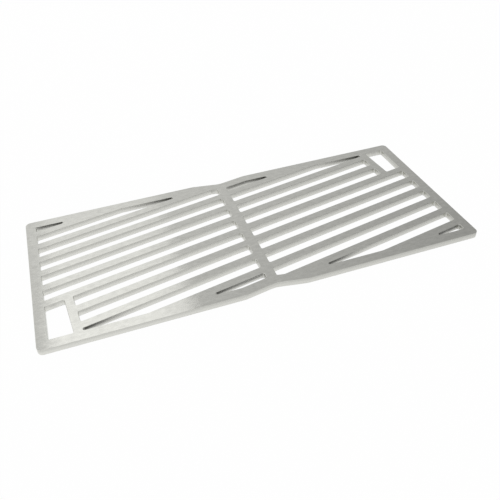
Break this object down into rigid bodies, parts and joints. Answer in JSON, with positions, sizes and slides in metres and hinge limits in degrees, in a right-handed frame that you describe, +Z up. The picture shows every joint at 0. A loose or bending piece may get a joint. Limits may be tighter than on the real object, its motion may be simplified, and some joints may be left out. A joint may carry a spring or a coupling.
{
  "type": "grill grate",
  "caption": "Flat rectangular grill grate cut from one steel plate, with slanted bars either side of a middle spine and a finger hole near two opposite corners.",
  "frame": {"origin": "centre of the plate's underside", "axes": "+X along the long side, +Y across the plate to the back, +Z up through the thickness"},
  "size_m": [0.425, 0.18, 0.006],
  "materials": {
    "steel": "fine ground satin stainless steel, with paler cut edges"
  },
  "bodies": {
    "root": {"grill_grate": "steel"}
  },
  "joints": []
}
